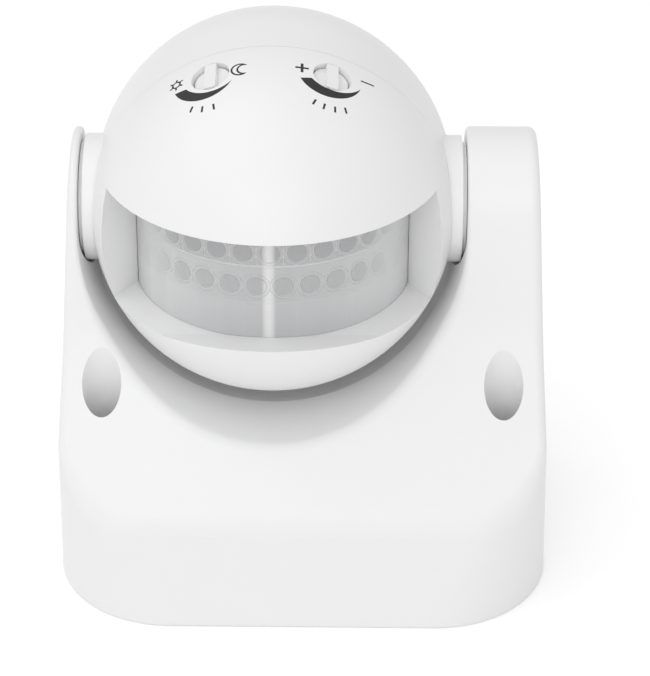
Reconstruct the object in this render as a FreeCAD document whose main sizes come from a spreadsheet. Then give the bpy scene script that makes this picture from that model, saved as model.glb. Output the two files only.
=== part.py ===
import FreeCAD, Part
import math
import os
import Sketcher

# Motion sensor: a ball-like head between the two arms of a moulded base.
# Millimetres. The origin is the middle of the base's flat mounting face, +Z points away
# from the wall, -Y is the way the lens looks, +X is the side of the thick arm.

vector = FreeCAD.Vector
far = 150.0

drivingSizes = {
    # base
    "thinArm": 5.1,
    "thickArm": 16.1,
    "baseDeep": 60.0,
    "draftAngle": 2.6,
    "frontCorner": 21.0,
    "upperCorner": 7.8,
    "kneeHeight": 36.0,
    "rearCorner": 8.0,
    "frontHeight": 20.4,
    "slopeAngle": 55.0,
    "armLean": 15.0,
    "armRound": 13.0,
    "armBlend": 26.0,
    "baseWall": 2.2,
    "edgeRound": 1.6,
    "foldRound": 9.0,
    "troughGap": 2.0,
    "troughFloor": 33.2,
    "rimRound": 2.4,
    "rimTopRound": 0.7,
    "thinArmDrop": 22.0,
    # tilt axis and head
    "axisY": 8.3,
    "ballRadius": 32.4,
    "ballMiddle": 8.8,
    "headWall": 2.0,
    "bossRadius": 11.4,
    "pivotSeat": 12.0,
    "sweepGap": 0.6,
    "bossGap": 0.8,
    "hubStep": 1.0,
    "seamStep": 0.9,
    "seamLap": 2.0,
    # screw wells
    "wellInset": 9.25,
    "wellSetback": 15.35,
    "wellRadius": 3.5,
    "wellFloor": 4.0,
    "wellWall": 1.4,
    "wallScrewHole": 2.2,
    # base plate, seal and screws
    "plateThick": 2.0,
    "plateGap": 0.15,
    "rimWall": 1.0,
    "sealThick": 0.8,
    "sealWide": 0.8,
    "postInset": 14.0,
    "postSetback": 10.0,
    "postFront": 6.5,
    "postRadius": 3.2,
    "plateScrewRadius": 1.25,
    "plateScrewLong": 9.0,
    "plateHeadRadius": 2.5,
    "plateHeadHigh": 1.2,
    # cable entry and terminals
    "entryX": 12.0,
    "entryY": -12.0,
    "entryBore": 4.0,
    "grommetBody": 6.0,
    "grommetFlange": 8.0,
    "grommetHigh": 9.0,
    "blockX": -6.0,
    "blockY": 8.3,
    "blockWide": 26.0,
    "blockDeep": 14.0,
    "blockHigh": 11.0,
    "poleSpacing": 8.0,
    "clampRadius": 2.2,
    "clampBore": 1.5,
    "clampLong": 11.0,
    "clampScrewRadius": 1.3,
    "clampScrewReach": 3.5,
    # pivot
    "pinRadius": 4.0,
    "pinReach": 5.0,
    "sleeveRadius": 5.0,
    "sleeveBore": 3.0,
    "sleeveFlange": 7.0,
    "sleeveFlangeThick": 1.4,
    "runningGap": 0.06,
    "washerRadius": 8.0,
    "washerThick": 1.1,
    "nutAcross": 14.0,
    "nutThick": 2.4,
    "ringRadius": 10.2,
    "ringThick": 0.7,
    "leadRadius": 1.8,
    "leadBend": 2.5,
    # lens window
    "visorHeight": 10.3,
    "shelfHeight": 12.1,
    "lipRise": 1.9,
    "lipStart": 23.5,
    "lensCentre": 3.8,
    "lensInset": 7.6,
    "lensThick": 0.7,
    "lensMargin": 1.6,
    "lensHalfAngle": 78.0,
    "apertureHalfAngle": 77.4,
    "flareAngle": 34.5,
    "windowWall": 1.5,
    "frameThick": 1.6,
    "frameRail": 2.4,
    "fitGap": 0.06,
    # dials
    "dialX": 10.5,
    "dialY": 6.7,
    "dialZ": 29.9,
    "dialWellRadius": 3.45,
    "dialRadius": 3.15,
    "dialWellDeep": 2.6,
    "dialWall": 1.1,
    "dialThick": 1.3,
    "dialGripHigh": 1.2,
    "dialGripWide": 2.1,
    "stemRadius": 1.4,
    "stemReach": 3.2,
    "potRadius": 4.3,
    "potHigh": 4.4,
    # board and what it carries
    "boardFront": 2.0,
    "boardThick": 1.6,
    "boardInset": 3.0,
    "boardSideInset": 6.9,
    "holderRadius": 6.4,
    "holderReach": 2.0,
    "canRadius": 4.6,
    "canHigh": 4.2,
    "canRim": 5.2,
    "canRimThick": 0.5,
    "canWindow": 5.0,
    "canWindowThick": 0.5,
    "relayWide": 15.5,
    "relayHigh": 19.0,
    "relayDeep": 15.0,
    "capRadius": 4.0,
    "capLong": 12.0,
    "filmWide": 6.0,
    "filmHigh": 13.0,
    "filmDeep": 11.0,
    "socketWide": 8.0,
    "socketHigh": 9.0,
    "socketDeep": 8.0,
    "cellRadius": 2.5,
    "cellHigh": 2.0,
    "boardPostInset": 7.9,
    "boardPostRadius": 2.8,
    "boardScrewRadius": 1.1,
    "boardScrewLong": 6.0,
    "boardHeadRadius": 2.0,
    "boardHeadHigh": 1.3,
    # shell screws
    "shellSeat": 9.0,
    "shellScrewRadius": 1.4,
    "shellPostRadius": 3.2,
    "shellBossRadius": 4.2,
    "shellRecessRadius": 2.9,
    "shellScrewLong": 20.0,
    "shellHeadRadius": 2.6,
    "shellHeadHigh": 1.8,
}

document = FreeCAD.newDocument("MotionSensor")
sheet = document.addObject("Spreadsheet::Sheet", "Sizes")


class Size:
    """A number together with the spreadsheet formula that gives it."""

    def __init__(self, value, text):
        self.value = float(value)
        self.text = text

    def join(self, other, sign, value):
        return Size(value, "(" + self.text + " " + sign + " " + asSize(other).text + ")")

    def __add__(self, other):
        return self.join(other, "+", self.value + asSize(other).value)

    def __sub__(self, other):
        return self.join(other, "-", self.value - asSize(other).value)

    def __mul__(self, other):
        return self.join(other, "*", self.value * asSize(other).value)

    def __truediv__(self, other):
        return self.join(other, "/", self.value / asSize(other).value)

    def __radd__(self, other):
        return asSize(other) + self

    def __rsub__(self, other):
        return asSize(other) - self

    def __rmul__(self, other):
        return asSize(other) * self

    def __rtruediv__(self, other):
        return asSize(other) / self

    def __neg__(self):
        return asSize(-1) * self


def asSize(item):
    return item if isinstance(item, Size) else Size(item, repr(float(item)))


def root(item):
    return Size(math.sqrt(item.value), "sqrt(" + item.text + ")")


def sine(item):
    return Size(math.sin(math.radians(item.value)), "sin(" + item.text + " * 1deg)")


def cosine(item):
    return Size(math.cos(math.radians(item.value)), "cos(" + item.text + " * 1deg)")


def tangent(item):
    return Size(math.tan(math.radians(item.value)), "tan(" + item.text + " * 1deg)")


def fillSheet():
    """One row for each driving size, its name beside it."""
    for row, (name, value) in enumerate(drivingSizes.items(), start=1):
        sheet.set("A%d" % row, name)
        sheet.set("B%d" % row, str(value))
        sheet.setAlias("B%d" % row, name)
    document.recompute()


fillSheet()


class Sizes:
    """Reads a driving size by its name."""

    def __getattr__(self, name):
        return Size(sheet.get(name), "Sizes." + name)


s = Sizes()
zero = asSize(0)

# Places that several pieces share.
troughRadius = s.ballRadius + s.troughGap
baseWide = 2 * troughRadius + s.thinArm + s.thickArm
axisX = (s.thinArm - s.thickArm) / 2
axisZ = s.troughFloor + troughRadius
halfMiddle = s.ballMiddle / 2
seamY = s.axisY - halfMiddle
frontBallY = s.axisY - halfMiddle
rearBallY = s.axisY + halfMiddle
innerBall = s.ballRadius - s.headWall
armFaceLeft = axisX - troughRadius
armFaceRight = axisX + troughRadius
ledge = s.plateThick + s.sealThick
bossEnd = troughRadius - s.bossGap
hubFace = innerBall - s.hubStep
boardBack = s.axisY + s.boardFront + s.boardThick
lensY = s.axisY - s.lensCentre
visorZ = axisZ + s.visorHeight
shelfZ = axisZ - s.shelfHeight
wellSide = baseWide / 2 - s.wellInset
wellPlaces = [(side * wellSide, s.wellSetback - s.baseDeep / 2) for side in (-1, 1)]
postPlaces = [(side * (baseWide / 2 - s.postInset), s.baseDeep / 2 - s.postSetback) for side in (-1, 1)]
postPlaces.append((zero, s.postFront - s.baseDeep / 2))
lensRadius = s.ballRadius - s.lensInset
screwSide = (innerBall - s.shellBossRadius - 0.2) / math.sqrt(2)
boardRadius = innerBall - s.boardInset
boardHalfWide = innerBall - s.boardSideInset
boardPostZ = innerBall - s.boardPostInset
sleeveEnd = troughRadius + s.baseWall + s.washerThick + s.nutThick + 0.4


def bind(item, **sizes):
    for name, size in sizes.items():
        item.setExpression(name.replace("_", "."), asSize(size).text)


def place(item, x=0, y=0, z=0):
    bind(item, Placement_Base_x=x, Placement_Base_y=y, Placement_Base_z=z)
    return item


turns = {
    "+Z": FreeCAD.Rotation(),
    "-Z": FreeCAD.Rotation(vector(1, 0, 0), 180),
    "+X": FreeCAD.Rotation(vector(0, 1, 0), 90),
    "-X": FreeCAD.Rotation(vector(0, 1, 0), -90),
    "+Y": FreeCAD.Rotation(vector(1, 0, 0), -90),
    "-Y": FreeCAD.Rotation(vector(1, 0, 0), 90),
}


def box(name, x, y, z, wide, deep, high):
    item = document.addObject("Part::Box", name)
    bind(item, Length=wide, Width=deep, Height=high)
    return place(item, x, y, z)


def rod(name, x, y, z, radius, length, along="+Z"):
    item = document.addObject("Part::Cylinder", name)
    item.Placement = FreeCAD.Placement(vector(), turns[along])
    bind(item, Radius=radius, Height=length)
    return place(item, x, y, z)


def cone(name, x, y, z, radiusLow, radiusHigh, length, along="+Z"):
    item = document.addObject("Part::Cone", name)
    item.Placement = FreeCAD.Placement(vector(), turns[along])
    bind(item, Radius1=radiusLow, Radius2=radiusHigh, Height=length)
    return place(item, x, y, z)


def fuse(name, *items):
    item = document.addObject("Part::MultiFuse", name)
    item.Shapes = list(items)
    item.Refine = True
    return item


def cut(name, base, tool):
    item = document.addObject("Part::Cut", name)
    item.Base = base
    item.Tool = tool
    return item


def common(name, *items):
    item = document.addObject("Part::MultiCommon", name)
    item.Shapes = list(items)
    return item


def cutAll(name, base, *tools):
    return cut(name, base, tools[0] if len(tools) == 1 else fuse(name + "Tools", *tools))


def originPlane(body, role):
    return next(item for item in body.Origin.OriginFeatures if item.Role == role)


def sketchOn(body, name, role, height=0):
    sketch = body.newObject("Sketcher::SketchObject", name)
    sketch.AttachmentSupport = [(originPlane(body, role), "")]
    sketch.MapMode = "FlatFace"
    bind(sketch, AttachmentOffset_Base_z=height)
    return sketch


def roundedCorner(before, corner, after, radius):
    """Where a corner's arc starts and ends, its middle, and whether it turns left."""
    into = (corner - before).normalize()
    out = (after - corner).normalize()
    turn = into.x * out.y - into.y * out.x
    half = math.atan2(abs(turn), into.dot(out)) / 2
    reach = radius * math.tan(half)
    start = corner - into * reach
    side = vector(-into.y, into.x) if turn > 0 else vector(into.y, -into.x)
    return start, corner + out * reach, start + side * radius, turn > 0


def constrainPoint(sketch, index, spot, x, y):
    for kind, size in (("DistanceX", x), ("DistanceY", y)):
        size = asSize(size)
        number = sketch.addConstraint(Sketcher.Constraint(kind, -1, 1, index, spot, size.value))
        if "Sizes" in size.text:
            sketch.setExpression("Constraints[%d]" % number, size.text)


def outline(sketch, corners):
    """A closed outline through corners (x, y) or (x, y, radius), each bound to the sheet."""
    points = [vector(asSize(c[0]).value, asSize(c[1]).value) for c in corners]
    count = len(corners)
    rounds = []
    for i, corner in enumerate(corners):
        if len(corner) == 3:
            rounds.append(roundedCorner(points[i - 1], points[i], points[(i + 1) % count], corner[2].value))
        else:
            rounds.append((points[i], points[i], None, None))
    lines = []
    for i in range(count):
        start, end = rounds[i][1], rounds[(i + 1) % count][0]
        lines.append(sketch.addGeometry(Part.LineSegment(start, end), False))
    for i, corner in enumerate(corners):
        lineIn, lineOut = lines[i - 1], lines[i]
        if len(corner) == 2:
            sketch.addConstraint(Sketcher.Constraint("Coincident", lineIn, 2, lineOut, 1))
            constrainPoint(sketch, lineOut, 1, corner[0], corner[1])
            continue
        start, end, middle, left = rounds[i]
        first, last = (start, end) if left else (end, start)
        angles = [math.atan2(p.y - middle.y, p.x - middle.x) for p in (first, last)]
        circle = Part.Circle(middle, vector(0, 0, 1), corner[2].value)
        arc = sketch.addGeometry(Part.ArcOfCircle(circle, angles[0], angles[1]), False)
        spotIn, spotOut = (1, 2) if left else (2, 1)
        sketch.addConstraint(Sketcher.Constraint("Tangent", lineIn, 2, arc, spotIn))
        sketch.addConstraint(Sketcher.Constraint("Tangent", arc, spotOut, lineOut, 1))
        number = sketch.addConstraint(Sketcher.Constraint("Radius", arc, corner[2].value))
        sketch.setExpression("Constraints[%d]" % number, corner[2].text)
        point = sketch.addGeometry(Part.Point(points[i]), True)
        sketch.addConstraint(Sketcher.Constraint("PointOnObject", point, 1, lineIn))
        sketch.addConstraint(Sketcher.Constraint("PointOnObject", point, 1, lineOut))
        constrainPoint(sketch, point, 1, corner[0], corner[1])


def pad(body, name, sketch, length, taper=None, both=False):
    feature = body.newObject("PartDesign::Pad", name)
    feature.Profile = sketch
    bind(feature, Length=length)
    if taper is not None:
        bind(feature, TaperAngle=taper)
    if both:
        feature.SideType = "Symmetric"
    return feature


def loft(body, name, low, high):
    feature = body.newObject("PartDesign::AdditiveLoft", name)
    feature.Profile = low
    feature.Sections = [high]
    feature.Ruled = True
    return feature


def pocketThrough(body, name, sketch):
    feature = body.newObject("PartDesign::Pocket", name)
    feature.Profile = sketch
    feature.SideType = "Symmetric"
    feature.Type = "Length"
    bind(feature, Length=2 * far)
    return feature


def revolve(body, name, sketch, axis):
    feature = body.newObject("PartDesign::Revolution", name)
    feature.Profile = sketch
    feature.ReferenceAxis = (sketch, [axis])
    feature.Angle = 360.0
    return feature


def newBody(name):
    return document.addObject("PartDesign::Body", name)


def sector(name, centreY, innerRadius, outerRadius, halfAngle, low, high):
    """A piece of upright tube that faces the front, from one height to another."""
    turn = -90 - halfAngle.value
    parts = []
    sides = (("Outer", outerRadius, 2 * halfAngle), ("Inner", innerRadius, asSize(360)))
    for suffix, radius, angle in sides:
        item = document.addObject("Part::Cylinder", name + suffix)
        item.Placement = FreeCAD.Placement(vector(), FreeCAD.Rotation(vector(0, 0, 1), turn))
        bind(item, Radius=radius, Height=high - low, Angle=angle)
        parts.append(place(item, axisX, centreY, low))
    return cut(name, parts[0], parts[1])


def halfBall(name, centreY, radius, front):
    """The front or the rear half of a ball on the head's middle line."""
    item = document.addObject("Part::Sphere", name)
    item.Placement = FreeCAD.Placement(vector(), FreeCAD.Rotation(vector(0, 0, 1), 180 if front else 0))
    item.Angle3 = 180
    bind(item, Radius=radius)
    return place(item, axisX, centreY, axisZ)


def radialPlace(item, side, distance, right=0, up=0):
    """Stands a dial's piece on the line from the front ball's centre through the dial."""
    length = root(s.dialX * s.dialX + s.dialY * s.dialY + s.dialZ * s.dialZ)
    out = (side * s.dialX / length, -s.dialY / length, s.dialZ / length)
    level = root(out[1] * out[1] + out[2] * out[2])
    across = (level, -out[0] * out[1] / level, -out[0] * out[2] / level)
    along = (zero, out[2] / level, -out[1] / level)
    axes = [vector(*[step.value for step in axis]) for axis in (across, along, out)]
    item.Placement = FreeCAD.Placement(vector(), FreeCAD.Rotation(*axes, "ZXY"))
    start = (axisX, frontBallY, axisZ)
    spot = [start[i] + out[i] * distance + across[i] * right + along[i] * up for i in range(3)]
    return place(item, *spot)


def radialRod(name, side, low, high, radius):
    item = document.addObject("Part::Cylinder", name)
    bind(item, Radius=radius, Height=high - low)
    return radialPlace(item, side, low)


# Base housing

def blockPlan(body, name, inset, height, frontCorner, rearCorner):
    """The base's plan at a height, drawn in from the mounting face by the draft."""
    plan = sketchOn(body, name, "XY_Plane", height)
    draft = inset + height * tangent(s.draftAngle)
    side = baseWide / 2 - draft
    end = s.baseDeep / 2 - draft
    outline(plan, [
        (-side, -end, frontCorner - inset),
        (side, -end, frontCorner - inset),
        (side, end, rearCorner - inset),
        (-side, end, rearCorner - inset),
    ])
    return plan


def saddleBlock(name, inset):
    """The base's outer form, or its hollow when inset by a wall, whose front slopes back."""
    body = newBody(name)
    foot = blockPlan(body, name + "Foot", inset, zero, s.frontCorner, s.rearCorner)
    rearKnee = s.rearCorner - s.kneeHeight * tangent(s.draftAngle)
    knee = blockPlan(body, name + "Knee", inset, s.kneeHeight, s.upperCorner, rearKnee)
    loft(body, name + "Loft", foot, knee)
    pad(body, name + "Pad", knee, axisZ + s.armRound + 5 - s.kneeHeight, taper=-s.draftAngle)
    side = sketchOn(body, name + "Side", "YZ_Plane")
    leanTangent = tangent(s.armLean)
    slopeTangent = tangent(s.slopeAngle)
    apexZ = axisZ + (s.armRound - inset) / sine(s.armLean)
    slopeAtMiddle = s.frontHeight - inset / cosine(s.slopeAngle) + s.baseDeep / 2 * slopeTangent
    slopeAtApex = slopeAtMiddle + slopeTangent * (s.axisY - apexZ * leanTangent)
    meetZ = slopeAtApex / (1 - slopeTangent * leanTangent)
    meetY = s.axisY - (apexZ - meetZ) * leanTangent
    reach = s.baseDeep
    outline(side, [
        (-reach, slopeAtMiddle - reach * slopeTangent),
        (meetY, meetZ, s.armBlend + inset),
        (s.axisY, apexZ, s.armRound - inset),
        (reach, apexZ - (reach - s.axisY) / leanTangent),
        (reach, asSize(far)),
        (-reach, asSize(far)),
    ])
    pocketThrough(body, name + "Slope", side)
    return body


def roundEdges(name, body, chosen, radiusAt):
    """Rounds the edges chosen by their middle point, with a radius for each end's height."""
    document.recompute()
    rounds = []
    for number, edge in enumerate(body.Shape.Edges, start=1):
        start, reach = edge.FirstParameter, edge.LastParameter - edge.FirstParameter
        first, middle, last = [edge.valueAt(start + share * reach) for share in (0, 0.5, 1)]
        if chosen(middle):
            rounds.append((number, radiusAt(first.z), radiusAt(last.z)))
    item = document.addObject("Part::Fillet", name)
    item.Base = body
    item.Edges = rounds
    return item


def tiltSweep(name, gap):
    """The barrel-like room that the head's longer middle sweeps out as it tilts."""
    body = newBody(name)
    profile = sketchOn(body, name + "Profile", "XY_Plane")
    radius = s.ballRadius + gap
    dip = math.asin(halfMiddle.value / radius.value)
    centre = vector(0, halfMiddle.value)
    circle = Part.Circle(centre, vector(0, 0, 1), radius.value)
    arc = profile.addGeometry(Part.ArcOfCircle(circle, -dip, math.pi + dip), False)
    reach = radius.value * math.cos(dip)
    base = profile.addGeometry(Part.LineSegment(vector(-reach, 0), vector(reach, 0)), False)
    profile.addConstraint(Sketcher.Constraint("Coincident", arc, 1, base, 2))
    profile.addConstraint(Sketcher.Constraint("Coincident", arc, 2, base, 1))
    profile.addConstraint(Sketcher.Constraint("PointOnObject", base, 1, -1))
    profile.addConstraint(Sketcher.Constraint("PointOnObject", base, 2, -1))
    profile.addConstraint(Sketcher.Constraint("PointOnObject", arc, 3, -2))
    for kind, spots, size in (("DistanceY", (-1, 1, arc, 3), halfMiddle), ("Radius", (arc,), radius)):
        number = profile.addConstraint(Sketcher.Constraint(kind, *spots, size.value))
        profile.setExpression("Constraints[%d]" % number, size.text)
    revolve(body, name + "Turn", profile, "H_Axis")
    return place(body, axisX, s.axisY, axisZ)


def troughTool(name, grow):
    """The room between the arms: a trough, two flat seats and a dip for the head's middle."""
    radius = troughRadius + grow
    tube = rod(name + "Round", axisX, asSize(-far), axisZ, radius, 2 * far, "+Y")
    slot = box(name + "Slot", axisX - radius, asSize(-far), axisZ, 2 * radius, 2 * far, far)
    flat = rod(name + "Seat", axisX - radius, s.axisY, axisZ, s.pivotSeat + grow, 2 * radius, "+X")
    return fuse(name, tube, slot, flat, tiltSweep(name + "Sweep", s.sweepGap + grow))


def rimPlan(name, inset, high):
    """The housing's plan, inset and padded upwards from the mounting face."""
    body = newBody(name)
    plan = sketchOn(body, name + "Plan", "XY_Plane")
    side = baseWide / 2 - inset
    end = s.baseDeep / 2 - inset
    outline(plan, [
        (-side, -end, s.frontCorner - inset),
        (side, -end, s.frontCorner - inset),
        (side, end, s.rearCorner - inset),
        (-side, end, s.rearCorner - inset),
    ])
    pad(body, name + "Pad", plan, high)
    return body


def baseHousing():
    block = saddleBlock("HousingForm", zero)
    slopeTangent = math.tan(math.radians(s.slopeAngle.value))
    armStart = 0.6 * axisZ.value

    def onSlope(point):
        slopeHeight = s.frontHeight.value + (point.y + s.baseDeep.value / 2) * slopeTangent
        return abs(point.z - slopeHeight) < 1.5 and point.z < armStart

    def onTopEdges(middle):
        onArm = middle.z > armStart and abs(middle.x) > baseWide.value / 2 - 5
        return onArm or onSlope(middle)

    def topRadius(height):
        return s.foldRound.value if height < s.frontHeight.value + 3 else s.edgeRound.value

    def onRim(middle):
        if middle.z > axisZ.value:
            onWall = abs(abs(middle.x - axisX.value) - troughRadius.value) < 0.05
            return onWall and middle.y < s.axisY.value - s.pivotSeat.value / 2
        reach = math.hypot(middle.x - axisX.value, middle.z - axisZ.value)
        ahead = middle.y < s.axisY.value - s.pivotSeat.value - 1 or onSlope(middle)
        return abs(reach - troughRadius.value) < 0.05 and ahead

    def rimRadius(height):
        return s.rimRound.value if height < axisZ.value - s.pivotSeat.value else s.rimTopRound.value

    rounded = roundEdges("HousingRounded", block, onTopEdges, topRadius)
    saddle = cut("HousingSaddle", rounded, troughTool("Trough", zero))
    form = roundEdges("HousingRimmed", saddle, onRim, rimRadius)
    hollow = saddleBlock("HousingHollow", s.baseWall)
    hollowTrough = troughTool("HollowTrough", s.baseWall)
    recess = rimPlan("PlateRecess", s.rimWall, ledge)
    # The thin arm is solid above the point where its hollow would run out to an edge.
    posts = [box("ThinArm", -baseWide, -s.baseDeep, axisZ - s.thinArmDrop, baseWide + axisX,
                 2 * s.baseDeep, asSize(far))]
    for i, (x, y) in enumerate(wellPlaces):
        posts.append(rod("WellPost%d" % i, x, y, zero, s.wellRadius + s.wellWall, asSize(far)))
        posts.append(rod("WellRoot%d" % i, x, y, ledge, s.wellRadius + 2.8 * s.wellWall, asSize(far)))
    for i, (x, y) in enumerate(postPlaces):
        posts.append(rod("PlatePost%d" % i, x, y, s.plateThick, s.postRadius, asSize(far)))
    hollowAll = fuse("HollowAll", cut("HollowSaddle", hollow, hollowTrough), recess)
    openInside = cutAll("HollowRoom", hollowAll, *posts)
    holes = []
    for i, (x, y) in enumerate(wellPlaces):
        holes.append(rod("Well%d" % i, x, y, s.wellFloor, s.wellRadius, asSize(far)))
        holes.append(rod("WellHole%d" % i, x, y, asSize(-1), s.wallScrewHole, s.wellFloor + 2))
    for i, (x, y) in enumerate(postPlaces):
        holes.append(rod("PlatePilot%d" % i, x, y, zero, s.plateScrewRadius + 0.02, s.plateScrewLong + 1))
    holes.append(rod("ArmBore", armFaceRight - 1, s.axisY, axisZ, s.sleeveRadius + s.runningGap,
                     s.baseWall + 2, "+X"))
    shell = cutAll("HousingShell", form, openInside, *holes)
    pin = rod("PivotPin", armFaceLeft - 0.5, s.axisY, axisZ, s.pinRadius, s.pinReach + 0.5, "+X")
    return fuse("base_housing", shell, pin)


def basePlate():
    plate = rimPlan("PlateForm", s.rimWall + s.plateGap, s.plateThick)
    holes = [rod("EntryHole", s.entryX, s.entryY, asSize(-1), s.grommetBody, s.plateThick + 2)]
    for i, (x, y) in enumerate(wellPlaces):
        holes.append(rod("PlateNotch%d" % i, x, y, asSize(-1), s.wellRadius + s.wellWall + s.plateGap,
                         s.plateThick + 2))
    for i, (x, y) in enumerate(postPlaces):
        holes.append(rod("PlateHole%d" % i, x, y, asSize(-1), s.plateScrewRadius + 0.3, s.plateThick + 2))
        holes.append(rod("PlateSink%d" % i, x, y, asSize(-1), s.plateHeadRadius + 0.2, s.plateHeadHigh + 1))
    return cutAll("base_plate", plate, *holes)


def baseSeal():
    outside = rimPlan("SealOuter", s.rimWall + s.plateGap, ledge - 0.02)
    inside = rimPlan("SealInner", s.rimWall + s.plateGap + s.sealWide, ledge + 1)
    below = box("SealBelow", -baseWide, -s.baseDeep, asSize(-1), 2 * baseWide, 2 * s.baseDeep,
                s.plateThick + 1)
    return cutAll("base_seal", outside, inside, below)


def plateScrews():
    screws = []
    for i, (x, y) in enumerate(postPlaces):
        screws.append(rod("ScrewHead%d" % i, x, y, zero, s.plateHeadRadius, s.plateHeadHigh))
        screws.append(rod("ScrewShank%d" % i, x, y, zero, s.plateScrewRadius, s.plateScrewLong))
        screws.append(box("ScrewSlot%d" % i, x - s.plateHeadRadius, y - 0.3, asSize(-1),
                          2 * s.plateHeadRadius, asSize(0.6), asSize(1.5)))
    return cutAll("plate_screws", fuse("PlateScrewBodies", *[p for p in screws if "Slot" not in p.Name]),
                  *[p for p in screws if "Slot" in p.Name])


def cableGrommet():
    body = rod("GrommetBody", s.entryX, s.entryY, zero, s.grommetBody - 0.02, s.plateThick + 0.5)
    flange = rod("GrommetFlange", s.entryX, s.entryY, s.plateThick, s.grommetFlange, asSize(1.2))
    nose = cone("GrommetNose", s.entryX, s.entryY, s.plateThick + 1.2,
                s.grommetFlange - 1, s.entryBore + 1.2, s.grommetHigh - s.plateThick - 1.2)
    bore = rod("GrommetBore", s.entryX, s.entryY, asSize(-1), s.entryBore, s.grommetHigh + 2)
    return cut("cable_grommet", fuse("GrommetForm", body, flange, nose), bore)


def poleX(number):
    return s.blockX + (number - 1) * s.poleSpacing


def terminalBlock():
    high = s.blockHigh
    form = box("BlockForm", s.blockX - s.blockWide / 2, s.blockY - s.blockDeep / 2, s.plateThick,
               s.blockWide, s.blockDeep, high)
    holes = []
    for i in range(3):
        holes.append(rod("BlockBore%d" % i, poleX(i), s.blockY - s.blockDeep, s.plateThick + high / 2,
                         s.clampRadius + 0.04, 2 * s.blockDeep, "+Y"))
        for j in (-1, 1):
            holes.append(rod("BlockScrewHole%d%d" % (i, j + 1), poleX(i), s.blockY + j * s.clampScrewReach,
                             s.plateThick + high / 2, s.clampScrewRadius + 0.3, high))
    for i in range(2):
        holes.append(box("BlockGroove%d" % i, poleX(i) + s.poleSpacing / 2 - 0.6, s.blockY - s.blockDeep,
                         s.plateThick + high - 2, asSize(1.2), 2 * s.blockDeep, asSize(3)))
    return cutAll("terminal_block", form, *holes)


def terminalClamps():
    middle = s.plateThick + s.blockHigh / 2
    back = s.blockY - s.clampLong / 2
    tubes = [rod("Clamp%d" % i, poleX(i), back, middle, s.clampRadius, s.clampLong, "+Y")
             for i in range(3)]
    start = s.blockY - s.clampLong
    holes = [rod("ClampBore%d" % i, poleX(i), start, middle, s.clampBore, 2 * s.clampLong, "+Y")
             for i in range(3)]
    for i in range(3):
        for j in (-1, 1):
            holes.append(rod("ClampScrewHole%d%d" % (i, j + 1), poleX(i), s.blockY + j * s.clampScrewReach,
                             middle, s.clampScrewRadius + 0.04, s.clampRadius + 1))
    return cutAll("terminal_clamps", fuse("ClampTubes", *tubes), *holes)


def terminalScrews():
    low = s.plateThick + s.blockHigh / 2 + s.clampBore - 0.5
    high = s.plateThick + s.blockHigh - 1
    shanks, slots = [], []
    for i in range(3):
        for j in (-1, 1):
            y = s.blockY + j * s.clampScrewReach
            shanks.append(rod("PoleScrew%d%d" % (i, j + 1), poleX(i), y, low,
                              s.clampScrewRadius, high - low))
            slots.append(box("PoleSlot%d%d" % (i, j + 1), poleX(i) - 2, y - 0.25, high - 0.7, asSize(4),
                             asSize(0.5), asSize(1)))
    return cutAll("terminal_screws", fuse("PoleScrewBodies", *shanks), *slots)


def bundle(name, route, radius):
    """A bundle of leads along straight runs joined by arcs, through corners (point, bend)."""
    points = [vector(*[asSize(c).value for c in point]) for point, bend in route]
    edges = []
    start = points[0]
    for i in range(1, len(points) - 1):
        into = (points[i] - points[i - 1]).normalize()
        out = (points[i + 1] - points[i]).normalize()
        bend = route[i][1].value
        reach = bend * math.tan(into.getAngle(out) / 2)
        first = points[i] - into * reach
        last = points[i] + out * reach
        inward = (out - into).normalize()
        middle = points[i] + inward * (math.hypot(bend, reach) - bend)
        edges.append(Part.LineSegment(start, first).toShape())
        edges.append(Part.Arc(first, middle, last).toShape())
        start = last
    edges.append(Part.LineSegment(start, points[-1]).toShape())
    wire = Part.Wire(edges)
    ring = Part.Wire([Part.makeCircle(radius.value, points[0], (points[1] - points[0]).normalize())])
    item = document.addObject("Part::Feature", name)
    item.Shape = wire.makePipeShell([ring], True, False)
    return item


leadTurnX = axisX + sleeveEnd + 0.2 + s.leadBend


def baseLeads():
    leadZ = s.plateThick + s.blockHigh / 2
    blockEnd = s.blockX + s.blockWide / 2
    return bundle("base_leads", [
        ((axisX + sleeveEnd + 0.2, s.axisY, axisZ), None),
        ((leadTurnX, s.axisY, axisZ), s.leadBend - 0.01),
        ((leadTurnX, s.axisY, leadZ), s.leadBend + 2),
        ((blockEnd + 0.02, s.axisY, leadZ), None),
    ], s.leadRadius)


def headLeads():
    edgeX = axisX + boardHalfWide + s.leadRadius + 0.4
    socketX = axisX + boardHalfWide - 3.5
    socketY = boardBack + s.socketDeep / 2
    return bundle("head_leads", [
        ((axisX + sleeveEnd + 0.15, s.axisY, axisZ), None),
        ((edgeX, s.axisY, axisZ), s.leadBend),
        ((edgeX, socketY, axisZ), s.leadBend),
        ((socketX + 0.02, socketY, axisZ), None),
    ], s.leadRadius)


# Head shells

def screwPlaces():
    side = screwSide
    return [(axisX + i * side, axisZ + j * side) for i in (-1, 1) for j in (-1, 1)]


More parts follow.
